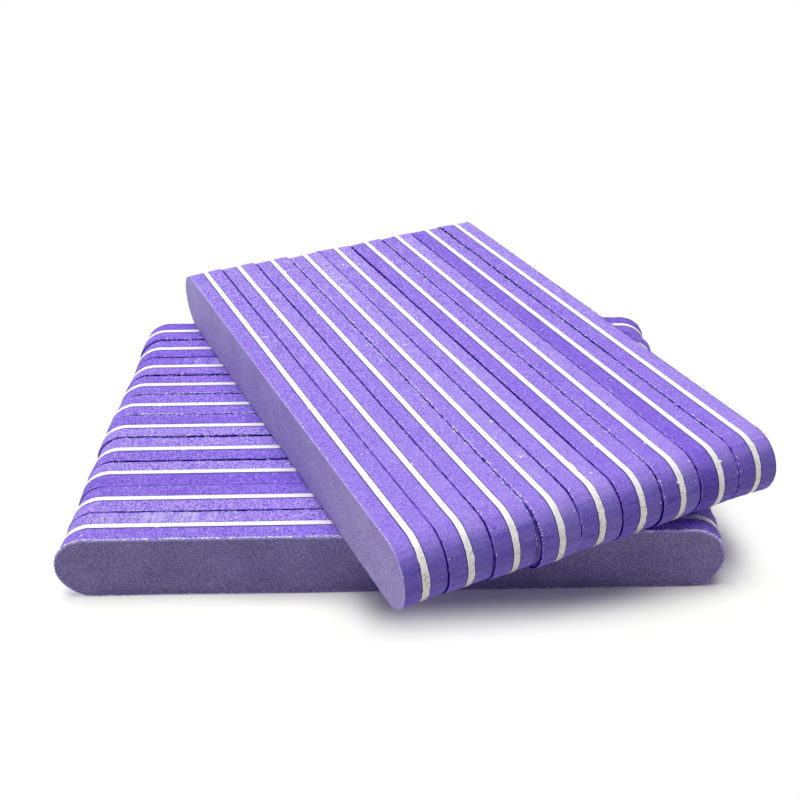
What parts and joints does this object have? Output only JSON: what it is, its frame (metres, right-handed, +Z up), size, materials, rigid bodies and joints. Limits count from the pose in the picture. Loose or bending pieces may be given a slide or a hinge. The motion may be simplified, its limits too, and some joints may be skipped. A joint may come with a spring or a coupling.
{
  "type": "nail buffer",
  "caption": "Straight foam nail buffers with round ends, each a white plastic core between violet grit coated foam pads, stacked on edge in two crossed blocks.",
  "frame": {"origin": "under the middle of the front buffer's core in the lower block, on the surface that the set stands on", "axes": "+X along the lower block's buffers, +Y from the front buffer of the lower block to its back one, +Z up"},
  "size_m": [0.1918, 0.2072, 0.0383],
  "materials": {
    "violet_foam": "matte closed cell foam with a grit coat on its outer face",
    "white_core": "matte cut edge of a plastic sheet"
  },
  "bodies": {
    "lower_01": {"lower_01_core": "white_core", "lower_01_front_pad": "violet_foam", "lower_01_back_pad": "violet_foam"},
    "lower_02": {"lower_02_core": "white_core", "lower_02_front_pad": "violet_foam", "lower_02_back_pad": "violet_foam"},
    "lower_03": {"lower_03_core": "white_core", "lower_03_front_pad": "violet_foam", "lower_03_back_pad": "violet_foam"},
    "lower_04": {"lower_04_core": "white_core", "lower_04_front_pad": "violet_foam", "lower_04_back_pad": "violet_foam"},
    "lower_05": {"lower_05_core": "white_core", "lower_05_front_pad": "violet_foam", "lower_05_back_pad": "violet_foam"},
    "lower_06": {"lower_06_core": "white_core", "lower_06_front_pad": "violet_foam", "lower_06_back_pad": "violet_foam"},
    "lower_07": {"lower_07_core": "white_core", "lower_07_front_pad": "violet_foam", "lower_07_back_pad": "violet_foam"},
    "lower_08": {"lower_08_core": "white_core", "lower_08_front_pad": "violet_foam", "lower_08_back_pad": "violet_foam"},
    "lower_09": {"lower_09_core": "white_core", "lower_09_front_pad": "violet_foam", "lower_09_back_pad": "violet_foam"},
    "lower_10": {"lower_10_core": "white_core", "lower_10_front_pad": "violet_foam", "lower_10_back_pad": "violet_foam"},
    "upper_01": {"upper_01_core": "white_core", "upper_01_left_pad": "violet_foam", "upper_01_right_pad": "violet_foam"},
    "upper_02": {"upper_02_core": "white_core", "upper_02_left_pad": "violet_foam", "upper_02_right_pad": "violet_foam"},
    "upper_03": {"upper_03_core": "white_core", "upper_03_left_pad": "violet_foam", "upper_03_right_pad": "violet_foam"},
    "upper_04": {"upper_04_core": "white_core", "upper_04_left_pad": "violet_foam", "upper_04_right_pad": "violet_foam"},
    "upper_05": {"upper_05_core": "white_core", "upper_05_left_pad": "violet_foam", "upper_05_right_pad": "violet_foam"},
    "upper_06": {"upper_06_core": "white_core", "upper_06_left_pad": "violet_foam", "upper_06_right_pad": "violet_foam"},
    "upper_07": {"upper_07_core": "white_core", "upper_07_left_pad": "violet_foam", "upper_07_right_pad": "violet_foam"},
    "upper_08": {"upper_08_core": "white_core", "upper_08_left_pad": "violet_foam", "upper_08_right_pad": "violet_foam"},
    "upper_09": {"upper_09_core": "white_core", "upper_09_left_pad": "violet_foam", "upper_09_right_pad": "violet_foam"}
  },
  "joints": [
    {"name": "draw_out_lower_02", "type": "slide", "parent": "lower_01", "child": "lower_02", "axis": [-1, 0, 0], "range_m": [0, 0.19]},
    {"name": "draw_out_lower_03", "type": "slide", "parent": "lower_01", "child": "lower_03", "axis": [-1, 0, 0], "range_m": [0, 0.19]},
    {"name": "draw_out_lower_04", "type": "slide", "parent": "lower_01", "child": "lower_04", "axis": [-1, 0, 0], "range_m": [0, 0.19]},
    {"name": "draw_out_lower_05", "type": "slide", "parent": "lower_01", "child": "lower_05", "axis": [-1, 0, 0], "range_m": [0, 0.19]},
    {"name": "draw_out_lower_06", "type": "slide", "parent": "lower_01", "child": "lower_06", "axis": [-1, 0, 0], "range_m": [0, 0.19]},
    {"name": "draw_out_lower_07", "type": "slide", "parent": "lower_01", "child": "lower_07", "axis": [-1, 0, 0], "range_m": [0, 0.19]},
    {"name": "draw_out_lower_08", "type": "slide", "parent": "lower_01", "child": "lower_08", "axis": [-1, 0, 0], "range_m": [0, 0.19]},
    {"name": "draw_out_lower_09", "type": "slide", "parent": "lower_01", "child": "lower_09", "axis": [-1, 0, 0], "range_m": [0, 0.19]},
    {"name": "draw_out_lower_10", "type": "slide", "parent": "lower_01", "child": "lower_10", "axis": [-1, 0, 0], "range_m": [0, 0.19]},
    {"name": "lift_upper_01", "type": "slide", "parent": "lower_01", "child": "upper_01", "axis": [0, 0, 1], "range_m": [0, 0.038]},
    {"name": "lift_upper_02", "type": "slide", "parent": "lower_01", "child": "upper_02", "axis": [0, 0, 1], "range_m": [0, 0.038]},
    {"name": "lift_upper_03", "type": "slide", "parent": "lower_01", "child": "upper_03", "axis": [0, 0, 1], "range_m": [0, 0.038]},
    {"name": "lift_upper_04", "type": "slide", "parent": "lower_01", "child": "upper_04", "axis": [0, 0, 1], "range_m": [0, 0.038]},
    {"name": "lift_upper_05", "type": "slide", "parent": "lower_01", "child": "upper_05", "axis": [0, 0, 1], "range_m": [0, 0.038]},
    {"name": "lift_upper_06", "type": "slide", "parent": "lower_01", "child": "upper_06", "axis": [0, 0, 1], "range_m": [0, 0.038]},
    {"name": "lift_upper_07", "type": "slide", "parent": "lower_01", "child": "upper_07", "axis": [0, 0, 1], "range_m": [0, 0.038]},
    {"name": "lift_upper_08", "type": "slide", "parent": "lower_01", "child": "upper_08", "axis": [0, 0, 1], "range_m": [0, 0.038]},
    {"name": "lift_upper_09", "type": "slide", "parent": "lower_01", "child": "upper_09", "axis": [0, 0, 1], "range_m": [0, 0.038]}
  ]
}
